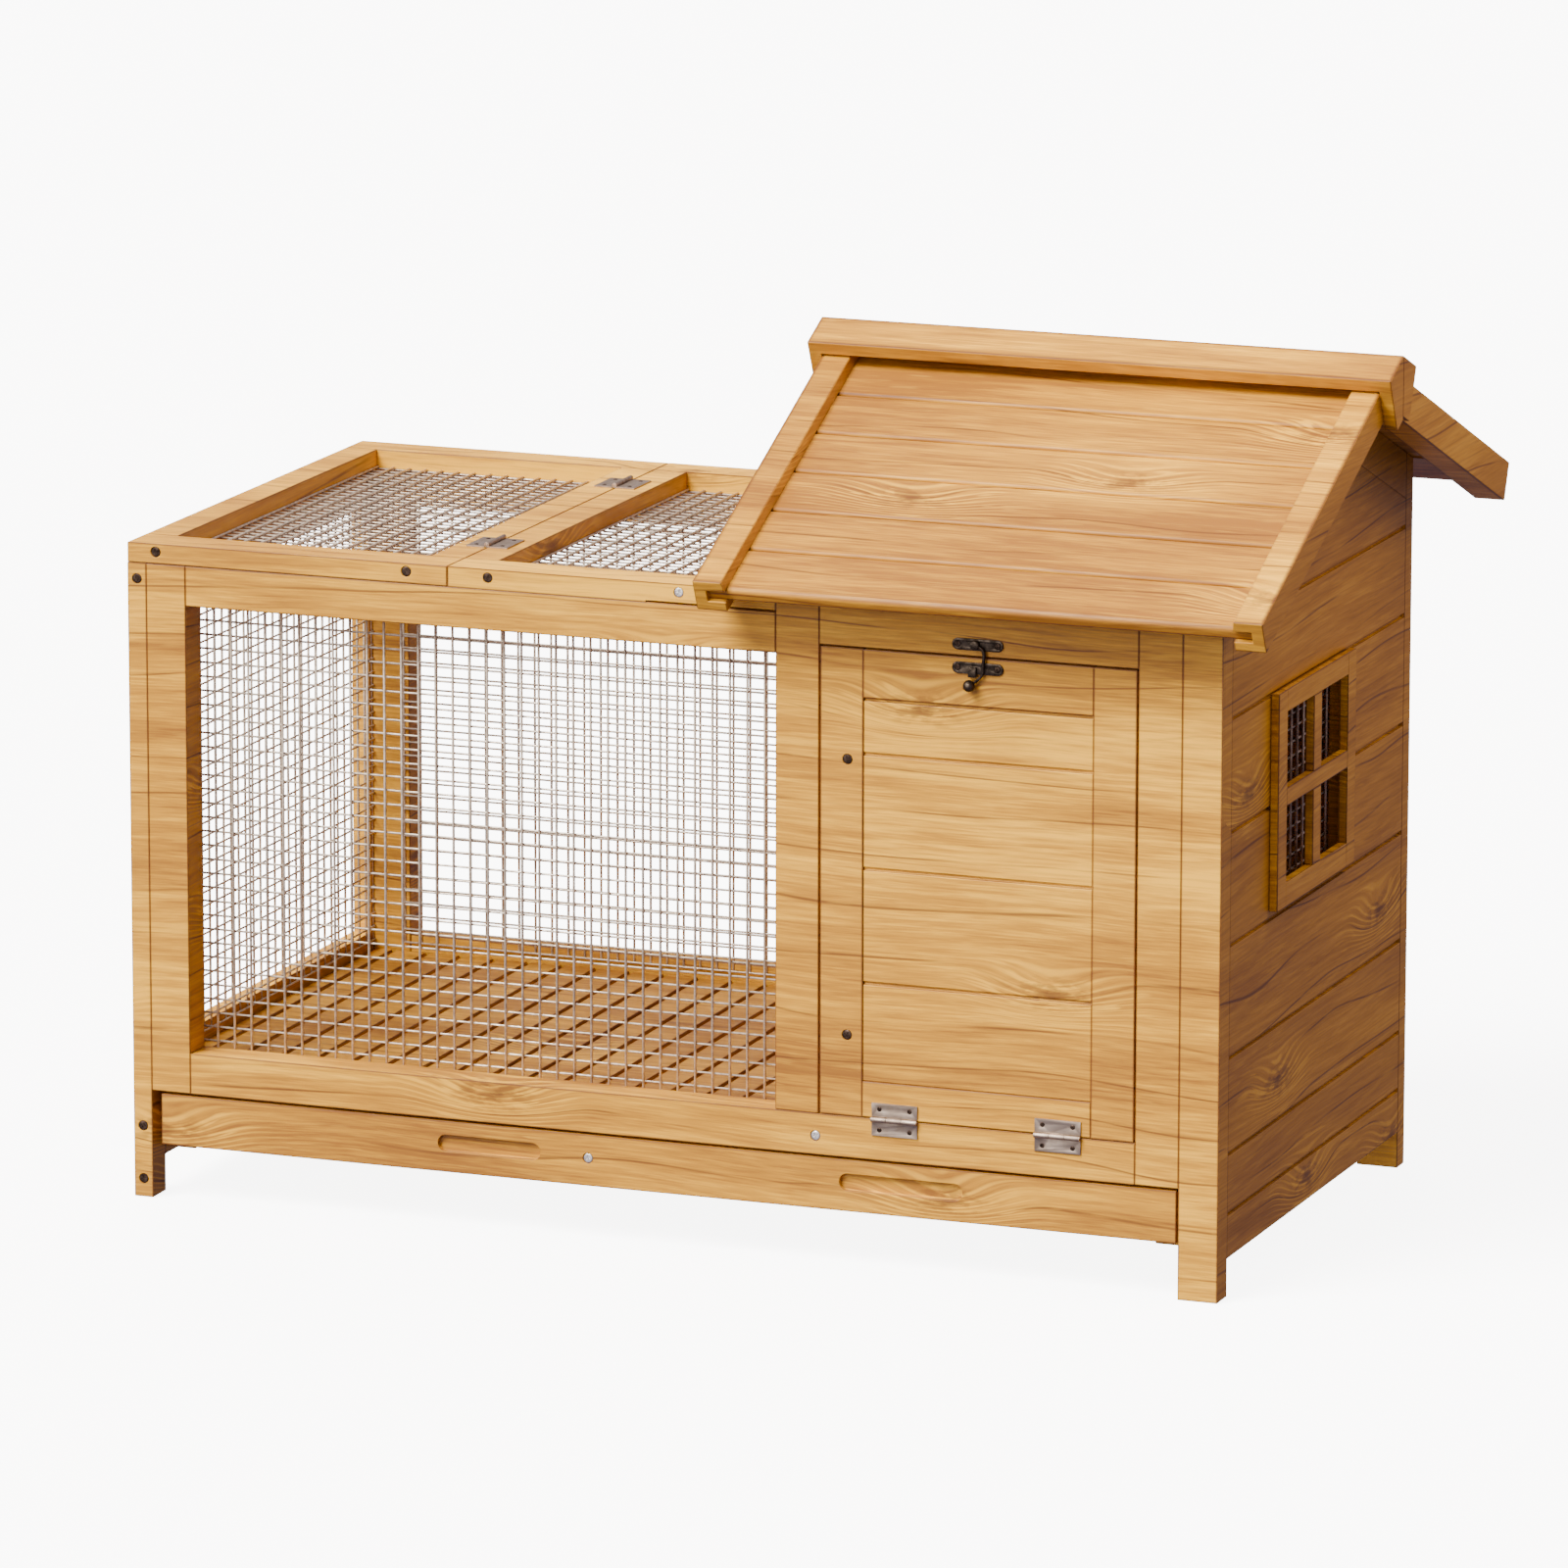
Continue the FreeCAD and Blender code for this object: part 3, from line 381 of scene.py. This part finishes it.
def knot_marks(pine, colour, along, depth, z, level, reach, knotty, light, line):
    """Pale rings round each knot, a smudge over it, and its dark heart."""
    near = (1.0 - reach.between(0.06, 0.36)) * knotty
    rings = 1.0 - (level * 215.0).from_line().between(0.04, 0.24)
    colour = pine.blend(rings * near * 0.70, colour, light)
    fleck = pine.cloud((along, depth, level), (18.0, 80.0, 270.0), 2.0, 0.6)
    colour = pine.blend(fleck.between(0.57, 0.68) * (near * 0.70 + 0.18), colour, light)
    smudge = pine.cloud((along, depth, z), (60.0, 90.0, 190.0), 3.0, 0.6).between(0.42, 0.60)
    middle = (1.0 - reach.between(0.03, 0.16)) * knotty
    colour = pine.blend(middle * smudge * 0.55, colour, line)
    heart = (1.0 - reach.between(0.012, 0.050)) * knotty
    return pine.blend(heart * 0.55, colour, line)


def joint_and_seam_shade(pine, place, facing):
    """1 at the edge of a board and 0 inside it, and broader on the roof's slopes: a dark joint line
    that is also painted shade in the seams, widened on the slopes into painted shadow between the
    roof boards.
    """
    lows = pine.split(pine.mark("board_low", "Vector"))
    highs = pine.split(pine.mark("board_high", "Vector"))
    from_x, from_y, from_z = [
        (value - low).least(high - value) + (across > 0.8)
        for value, low, high, across in zip(place, lows, highs, facing)
    ]
    inside = from_x.least(from_y).least(from_z)
    slope = (facing[1] > 0.25) * (facing[2] > 0.8)
    return 1.0 - inside.between(0.3 * MM, slope * (2.2 * MM) + 1.4 * MM)


def honey_pine(light, mid, deep, line, lap_painted_shade):
    """Lacquered pine whose grain runs along X, or along Y on the end walls."""
    pine = Finish("honey_pine", roughness=0.45, specular=0.34)
    where = pine.add("ShaderNodeTexCoord")
    x, y, z = pine.split(where.outputs["Object"])
    facing = [abs(value) for value in pine.split(where.outputs["Normal"])]
    wall = facing[0] > WALL_FACING
    along = x + (y - x) * wall
    depth = y + (x - y) * wall
    level, reach, knotty = grain_level(pine, along, depth, z)

    grain = (along, depth, level)
    bands = pine.cloud(grain, (2.2, 1.5, 26.0), 3.0, 0.55) - 0.5
    streaks = pine.cloud(grain, (7.0, 3.0, 150.0), 5.0, 0.66)
    fibres = pine.cloud(grain, (24.0, 60.0, 640.0), 3.0, 0.6)
    patch = pine.cloud(grain, (2.4, 2.0, 7.0)) - 0.5
    # the board mark: random tone per board, plus painted light and shade per piece
    shade = pine.number(pine.mark("board", "Fac")) - 0.5
    broad = bands * 0.85 + patch * 0.80 + shade * 0.13
    fine = (streaks - 0.5) * 0.75 + (fibres - 0.5) * 0.70
    calm = 1.0 - wall * 0.45
    # faces turned along X are drawn a little deeper: painted shade on the end walls
    richness = (broad + fine) * calm + wall * 0.06 + 0.5
    stops = [(0.20, light), (0.50, mid), (0.82, deep)]
    colour = pine.add("ShaderNodeValToRGB", {"stops": stops}, {0: richness}).outputs[0]
    colour = growth_lines(pine, colour, along, depth, level, line)
    colour = knot_marks(pine, colour, along, depth, z, level, reach, knotty, light, line)

    rim = joint_and_seam_shade(pine, (x, y, z), facing)
    # board edges take the line colour: dark joint lines, and painted shade in the seams
    colour = pine.blend(rim * 0.80, colour, line)
    # painted shade: the end faces under each lapped roof board, turned down the slope, are drawn in
    # a darker brown
    lap = pine.number(pine.mark("lap", "Fac")) * facing[1].between(0.47, 0.62)
    colour = pine.blend(lap * 0.72, colour, lap_painted_shade)

    roughness = streaks * 0.14 + fibres * 0.08 + 0.38
    height = fibres * 0.55 + streaks * 0.45 - rim * 0.4
    return pine.lay_on(colour, roughness, height, depth=0.2 * MM, strength=0.4)


def metal(name, bright, dull, roughness, scale, stretch=(1.0, 1.0, 1.0), metallic=1.0, bump=0.08):
    """Plated or bare metal with worn, brighter patches."""
    plate = Finish(name, roughness, metallic=metallic)
    where = plate.add("ShaderNodeTexCoord")
    place = plate.split(where.outputs["Object"])
    patches = plate.cloud(place, stretch, 4.0, 0.6, scale)
    fine = plate.cloud(place, stretch, 2.0, 0.5, scale * 6.0)
    wear = (patches * 0.7 + fine * 0.3).between(0.35, 0.68)
    colour = plate.blend(wear, dull, bright)
    gloss = roughness + 0.16 - wear * 0.2 + fine * 0.08
    return plate.lay_on(colour, gloss, fine, depth=bump * MM, strength=0.6)


# ---- shaping helpers ------------------------------------------------------------------
def only(piece):
    if bpy.context.mode != "OBJECT":
        bpy.ops.object.mode_set(mode="OBJECT")
    bpy.ops.object.select_all(action="DESELECT")
    piece.select_set(True)
    bpy.context.view_layer.objects.active = piece


def apply_place(piece):
    only(piece)
    bpy.ops.object.transform_apply(location=True, rotation=True, scale=True)


def settle(piece, name, material, node):
    """Names a finished piece, gives it its finish, and puts it in the place of its node."""
    apply_place(piece)
    piece.name = name
    piece.data.name = name
    piece.data.materials.clear()
    piece.data.materials.append(material)
    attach(piece, BODY_OF[node])
    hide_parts(node)
    return piece


def join_pieces(first, *others):
    only(first)
    for piece in others:
        piece.select_set(True)
    if others:
        bpy.ops.object.join()
    only(first)


def solids_of(mesh):
    """Groups of vertex numbers, one group to each separate solid."""
    parent = list(range(len(mesh.vertices)))

    def root(i):
        while parent[i] != i:
            parent[i] = parent[parent[i]]
            i = parent[i]
        return i

    for edge in mesh.edges:
        a, b = root(edge.vertices[0]), root(edge.vertices[1])
        if a != b:
            parent[a] = b
    groups = {}
    for i in range(len(mesh.vertices)):
        groups.setdefault(root(i), []).append(i)
    return list(groups.values())


def corners(mesh, group):
    points = [mesh.vertices[i].co for i in group]
    low = Vector([min(point[i] for point in points) for i in range(3)])
    high = Vector([max(point[i] for point in points) for i in range(3)])
    return low, high


def merged_copy(node):
    """A copy of a CAD node with its loose triangles merged into whole faces."""
    mesh = NODES[node].data.copy()
    piece = bpy.data.objects.new(node + "_copy", mesh)
    bpy.context.scene.collection.objects.link(piece)
    only(piece)
    bpy.ops.object.mode_set(mode="EDIT")
    bpy.ops.mesh.select_all(action="SELECT")
    bpy.ops.mesh.remove_doubles(threshold=0.000002)
    bpy.ops.mesh.dissolve_limited(angle_limit=math.radians(0.5))
    bpy.ops.object.mode_set(mode="OBJECT")
    return piece


def ease_edges(piece, width, sharpness):
    only(piece)
    bpy.ops.object.mode_set(mode="EDIT")
    bpy.ops.mesh.select_mode(type="EDGE")
    bpy.ops.mesh.select_all(action="DESELECT")
    bpy.ops.mesh.edges_select_sharp(sharpness=math.radians(sharpness))
    bpy.ops.mesh.bevel(offset=width, segments=2, profile=0.5, clamp_overlap=True)
    bpy.ops.mesh.select_all(action="DESELECT")
    bpy.ops.object.mode_set(mode="OBJECT")


def touch_faces(piece, wanted):
    """Opens the piece for shaping with only the wanted faces selected."""
    only(piece)
    bpy.ops.object.mode_set(mode="EDIT")
    bpy.ops.mesh.select_mode(type="FACE")
    bpy.ops.mesh.select_all(action="DESELECT")
    bpy.ops.object.mode_set(mode="OBJECT")
    for face in piece.data.polygons:
        face.select = wanted(face)
    bpy.ops.object.mode_set(mode="EDIT")


def end_face(face):
    return len(face.vertices) > 4


def top_face(face):
    return face.normal.z > 0.9


def smooth(piece, angle):
    only(piece)
    bpy.ops.object.shade_smooth_by_angle(angle=math.radians(angle))


# ---- timber, hinges and latch plates --------------------------------------------------
def mark_boards(piece, painted_light_tint, lapped):
    """Gives every board its own tone (random, shifted by its piece's painted light and shade), its
    own low and high corner, and its lap mark.
    """
    mesh = piece.data
    groups = solids_of(mesh)
    boxes = [corners(mesh, group) for group in groups]
    for name in ("board", "lap"):
        mesh.attributes.new(name, "FLOAT", "POINT")
    for name in ("board_low", "board_high"):
        mesh.attributes.new(name, "FLOAT_VECTOR", "POINT")
    board, lap = mesh.attributes["board"], mesh.attributes["lap"]
    low_mark, high_mark = mesh.attributes["board_low"], mesh.attributes["board_high"]
    foot = min(low.z for low, high in boxes)
    for group, (low, high) in zip(groups, boxes):
        middle = (low + high) / 2
        scatter = math.sin(middle.x * 12.9 + middle.y * 78.2 + middle.z * 37.7) * 43758.5
        share = scatter - math.floor(scatter)
        for i in group:
            # random tone plus the piece's painted light and shade
            board.data[i].value = share + painted_light_tint
            lap.data[i].value = 1.0 if lapped and low.z > foot + LAP_RISE else 0.0
            low_mark.data[i].vector = low
            high_mark.data[i].vector = high


def timber(node, material):
    piece = merged_copy(node)
    ease_edges(piece, TIMBER_EASE, 25)
    mark_boards(piece, PAINTED_LIGHT_TINT.get(node, 0.0), node in LAPPED)
    return settle(piece, node + "_timber", material, node)


def fitting(node, material, ease):
    piece = merged_copy(node)
    ease_edges(piece, ease, 40)
    smooth(piece, 32)
    return settle(piece, node + "_metal", material, node)


# ---- welded wire ----------------------------------------------------------------------
def repeat(piece, count, step):
    only(piece)
    array = piece.modifiers.new("row", "ARRAY")
    array.count = count
    array.use_relative_offset = False
    array.use_constant_offset = True
    array.constant_offset_displace = step
    bpy.ops.object.modifier_apply(modifier="row")


def wire_run(start, end, radius, count, step):
    """One straight wire with its ends eased, repeated at the mesh pitch."""
    line = end - start
    bpy.ops.object.select_all(action="DESELECT")
    bpy.ops.mesh.primitive_cylinder_add(
        vertices=8, radius=radius, depth=line.length, location=(start + end) / 2,
        rotation=line.to_track_quat("Z", "Y").to_euler(),
    )
    wire = bpy.context.object
    apply_place(wire)
    touch_faces(wire, end_face)
    bpy.ops.mesh.bevel(offset=radius * 0.5, segments=1)
    bpy.ops.object.mode_set(mode="OBJECT")
    repeat(wire, count, step)
    return wire


def welded_mesh(node, across, up, front, material):
    """Crossing wires in the place of a CAD sheet; the up-wires lie on the `front` side."""
    low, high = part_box(node)
    a, u = "xyz".index(across), "xyz".index(up)
    n = 3 - a - u
    radius = WIRE_GAUGE / 2
    middle = (low[n] + high[n]) / 2
    up_side = middle + front * WIRE_LIFT
    cross_side = middle - front * WIRE_LIFT
    width = high[a] - low[a] - WIRE_GAUGE
    height = high[u] - low[u] - WIRE_GAUGE
    columns = round(width / WIRE_PITCH_ACROSS)
    rows = round(height / WIRE_PITCH_UP)

    def spot(at_across, at_up, at_normal):
        point = Vector((0, 0, 0))
        point[a], point[u], point[n] = at_across, at_up, at_normal
        return point

    first_up = low[a] + radius
    first_cross = low[u] + radius
    upright = wire_run(
        spot(first_up, low[u], up_side), spot(first_up, high[u], up_side),
        radius, columns + 1, spot(width / columns, 0, 0),
    )
    cross = wire_run(
        spot(low[a], first_cross, cross_side), spot(high[a], first_cross, cross_side),
        CROSS_WIRE_RADIUS, rows + 1, spot(0, height / rows, 0),
    )
    join_pieces(upright, cross)
    smooth(upright, 60)
    return settle(upright, node + "_wires", material, node)


# ---- screws ---------------------------------------------------------------------------
def cross_head(radius, height):
    """A turned head with its rim rounded over and a cross recess, its top at the origin."""
    arm_size = (radius * 1.3, radius * 0.27, height * 1.1)
    bpy.ops.object.select_all(action="DESELECT")
    bpy.ops.mesh.primitive_cylinder_add(
        vertices=24, radius=radius, depth=height, location=(0, 0, -height / 2)
    )
    head = bpy.context.object
    apply_place(head)
    touch_faces(head, top_face)
    bpy.ops.mesh.bevel(offset=min(radius * 0.26, height * 0.7), segments=3)
    bpy.ops.object.mode_set(mode="OBJECT")
    for turn in (0.0, math.pi / 2):
        bpy.ops.object.select_all(action="DESELECT")
        bpy.ops.mesh.primitive_cube_add(size=1.0, location=(0, 0, 0), rotation=(0, 0, turn))
        cutter = bpy.context.object
        cutter.scale = arm_size
        apply_place(cutter)
        only(head)
        recess = head.modifiers.new("recess", "BOOLEAN")
        recess.operation = "DIFFERENCE"
        recess.object = cutter
        bpy.ops.object.modifier_apply(modifier="recess")
        bpy.data.objects.remove(cutter)
    smooth(head, 35)
    return head


def turned_screws(node, material):
    """A cross head in the place of each disc, on the face that the disc shows."""
    guide = merged_copy(node)
    places = [corners(guide.data, group) for group in solids_of(guide.data)]
    bpy.data.objects.remove(guide)
    patterns = {}
    heads = []
    for number, (low, high) in enumerate(places):
        size = high - low
        across = min(range(3), key=lambda i: size[i])
        middle = (low + high) / 2
        toward = Vector((0, 0, 0))
        toward[across] = 1.0 if across == 2 or middle[across] > 0 else -1.0
        key = (round(max(size) * 1e5), round(size[across] * 1e5))
        if key not in patterns:
            patterns[key] = cross_head(max(size) / 2, size[across])
        head = patterns[key].copy()
        head.data = patterns[key].data.copy()
        bpy.context.scene.collection.objects.link(head)
        top = Matrix.Translation(middle + toward * (size[across] / 2))
        facing = toward.to_track_quat("Z", "Y").to_matrix().to_4x4()
        turn = Matrix.Rotation(FIRST_SCREW_TURN + number * NEXT_SCREW_TURN, 4, "Z")
        head.matrix_world = top @ facing @ turn
        heads.append(head)
    for pattern in patterns.values():
        bpy.data.objects.remove(pattern)
    join_pieces(*heads)
    return settle(heads[0], node + "_cross_heads", material, node)


# ---- latch hook -----------------------------------------------------------------------
def hook_bar(left, bar_y, foot):
    """The hook's swept bar: across from the eye, down, and tapering in to the ball."""
    route = [
        (8.1, 35.6, 1.15), (12.4, 34.6, 1.12), (15.6, 30.6, 1.08), (15.3, 24.6, 1.0),
        (14.3, 19.6, 0.94), (15.0, 14.0, 0.88), (10.4, 8.6, 0.84), (5.4, 5.2, 0.80),
    ]
    line = bpy.data.curves.new("hook_bar", "CURVE")
    line.dimensions = "3D"
    line.bevel_depth = 1.3 * MM
    line.bevel_resolution = 3
    line.use_fill_caps = True
    line.resolution_u = 5
    spline = line.splines.new("NURBS")
    spline.points.add(len(route) - 1)
    for point, (x, z, swell) in zip(spline.points, route):
        point.co = (left + x * MM, bar_y, foot + z * MM, 1.0)
        point.radius = swell
    spline.order_u = 3
    spline.use_endpoint_u = True
    bar = bpy.data.objects.new("hook_bar", line)
    bpy.context.scene.collection.objects.link(bar)
    only(bar)
    bpy.ops.object.convert(target="MESH")
    return bpy.context.object


def hook_eye(spot):
    eye_radius = 3.6 * MM
    eye_thickness = 2.0 * MM
    bpy.ops.object.select_all(action="DESELECT")
    bpy.ops.mesh.primitive_cylinder_add(
        vertices=28, radius=eye_radius, depth=eye_thickness, location=spot,
        rotation=(math.pi / 2, 0, 0),
    )
    eye = bpy.context.object
    touch_faces(eye, end_face)
    bpy.ops.mesh.bevel(offset=0.5 * MM, segments=2)
    bpy.ops.object.mode_set(mode="OBJECT")
    return eye


def hook_ball(low):
    ball_radius = 4.6 * MM
    bpy.ops.object.select_all(action="DESELECT")
    bpy.ops.mesh.primitive_uv_sphere_add(
        segments=24, ring_count=14, radius=ball_radius, location=[part + ball_radius for part in low]
    )
    ball = bpy.context.object
    touch_faces(ball, top_face)
    bpy.ops.mesh.inset(thickness=0.3 * MM)
    bpy.ops.object.mode_set(mode="OBJECT")
    return ball


def hook_arm(material):
    """The latch's swinging arm: an eye on the stud, a bent bar, and a ball to push."""
    low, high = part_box("latch_arm")
    bar_y = high[1] - 1.0 * MM
    eye_spot = (low[0] + 8.1 * MM, bar_y, high[2] - 3.6 * MM)
    bar = hook_bar(low[0], bar_y, low[2])
    eye = hook_eye(eye_spot)
    ball = hook_ball(low)
    join_pieces(bar, eye, ball)
    smooth(bar, 40)
    return settle(bar, "latch_hook", material, "latch_arm")


# ---- making the hutch -----------------------------------------------------------------
set_camera()
set_sky()
for name, sun in SUNS.items():
    soft_sun(name, *sun)
wall_glow()
lay_floor()

pine = honey_pine(
    light=tone(238, 176, 46),
    mid=tone(192, 133, 28),
    deep=tone(144, 91, 24),
    # line: grain lines and dark joints, and the painted shade in the seams
    line=tone(88, 44, 18),
    # the painted shade under each roof lap
    lap_painted_shade=tone(104, 54, 14),
)
galvanised = metal(
    "galvanised_wire", tone(220, 202, 178), tone(164, 148, 130), 0.32, 160.0,
    metallic=0.55, bump=0.04,
)
nickel = metal(
    "nickel_plate", tone(176, 158, 142), tone(140, 122, 106), 0.38, 26.0,
    stretch=(1.0, 2.0, 2.0), metallic=0.9,
)
bronze = metal("dark_bronze", tone(92, 80, 68), tone(44, 36, 30), 0.36, 220.0)
black_steel = metal("blackened_steel", tone(96, 78, 66), tone(46, 34, 28), 0.40, 300.0)
bright_zinc = metal("bright_zinc", tone(244, 240, 236), tone(196, 190, 184), 0.28, 260.0)

for node, (across, up, front) in WIRE_MESHES.items():
    welded_mesh(node, across, up, front, galvanised)

for node, slot in SLOT_OF.items():
    if slot in ("pine", "tray_board"):
        timber(node, pine)
    elif slot == "nickel":
        fitting(node, nickel, HINGE_EASE)
    elif node == "latch_arm":
        hook_arm(bronze)
    elif slot == "bronze":
        fitting(node, bronze, LATCH_EASE)
    elif slot == "dark_screw":
        turned_screws(node, black_steel)
    elif slot == "bright_screw":
        turned_screws(node, bright_zinc)
